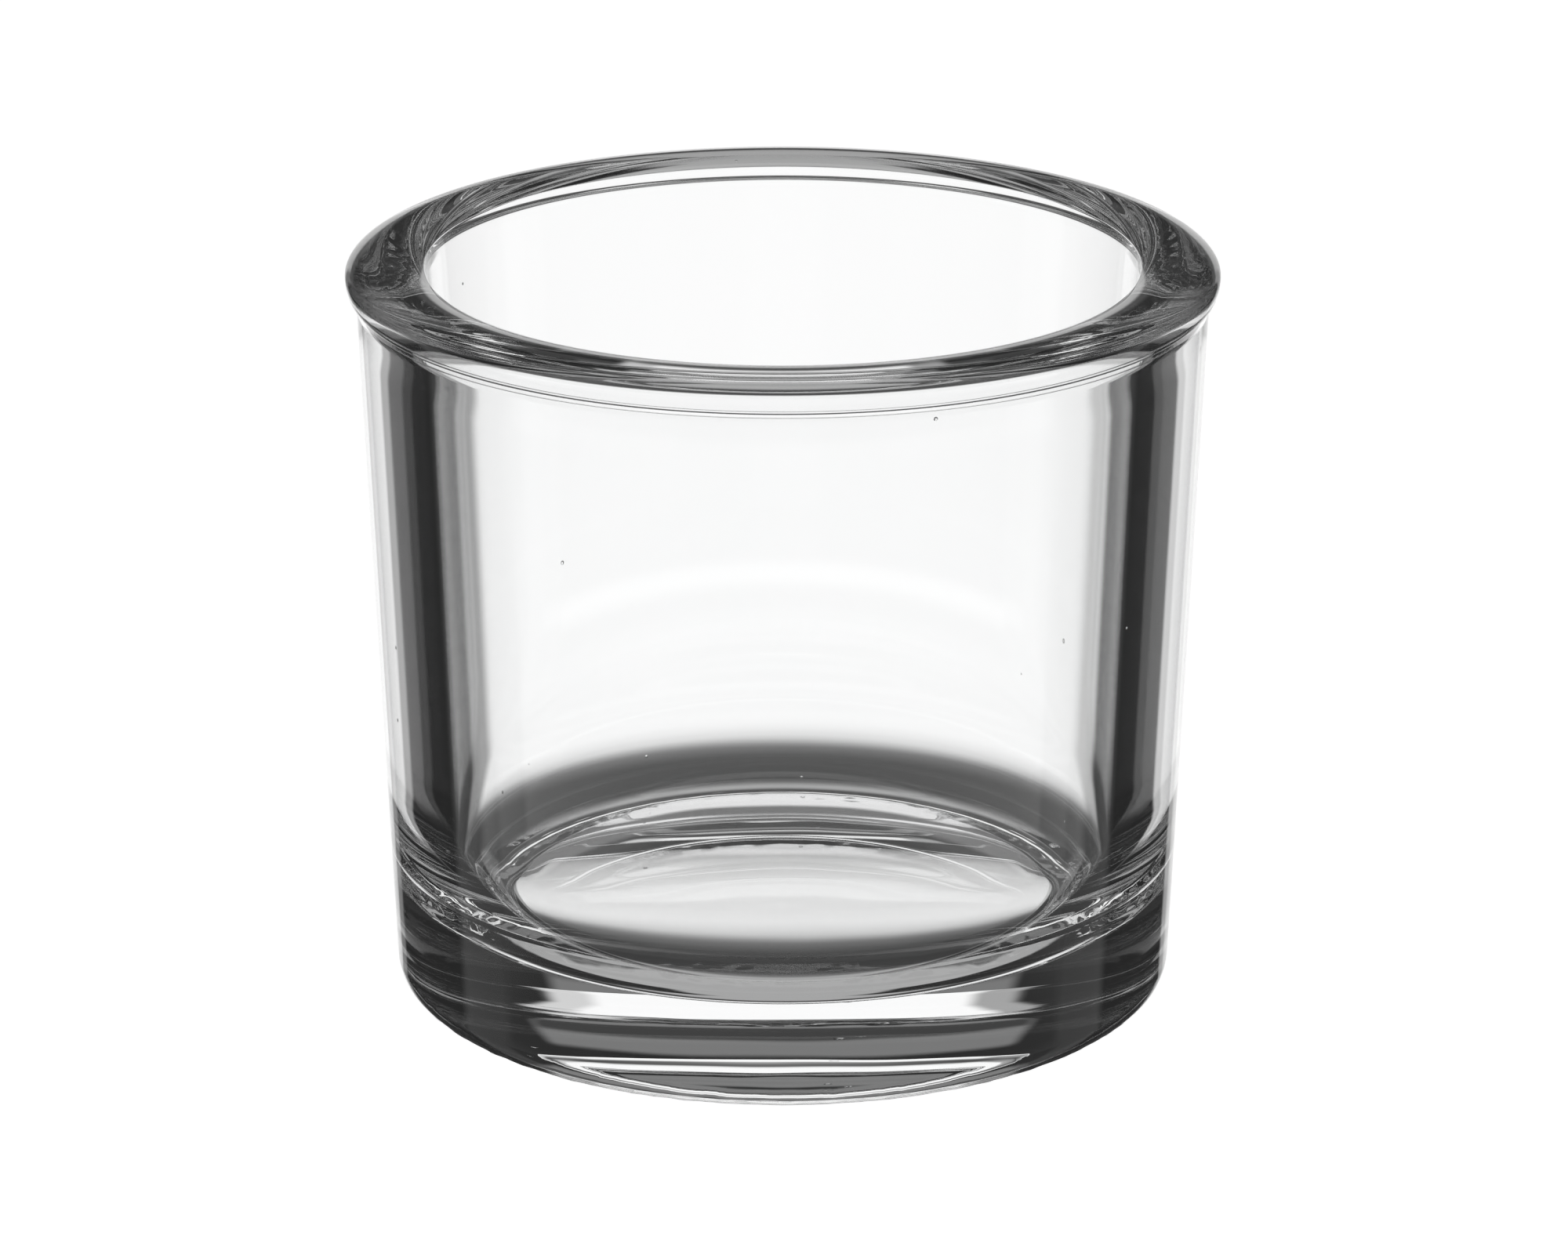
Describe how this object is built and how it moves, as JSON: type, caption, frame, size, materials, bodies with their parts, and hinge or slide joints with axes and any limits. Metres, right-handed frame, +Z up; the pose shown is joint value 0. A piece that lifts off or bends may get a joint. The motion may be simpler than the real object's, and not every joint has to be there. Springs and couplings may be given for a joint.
{
  "type": "tealight holder",
  "caption": "Heavy clear pressed-glass tumbler that stands on a ring foot and holds a tealight on its thick floor.",
  "frame": {"origin": "centre of the base, on the surface the holder stands on", "axes": "+Z up, along the axis of revolution, from the base to the open mouth; X and Y are free"},
  "size_m": [0.075, 0.075, 0.065],
  "materials": {
    "glass": "clear, fire-polished pressed glass"
  },
  "bodies": {
    "root": {"glass_holder": "glass"}
  },
  "joints": []
}
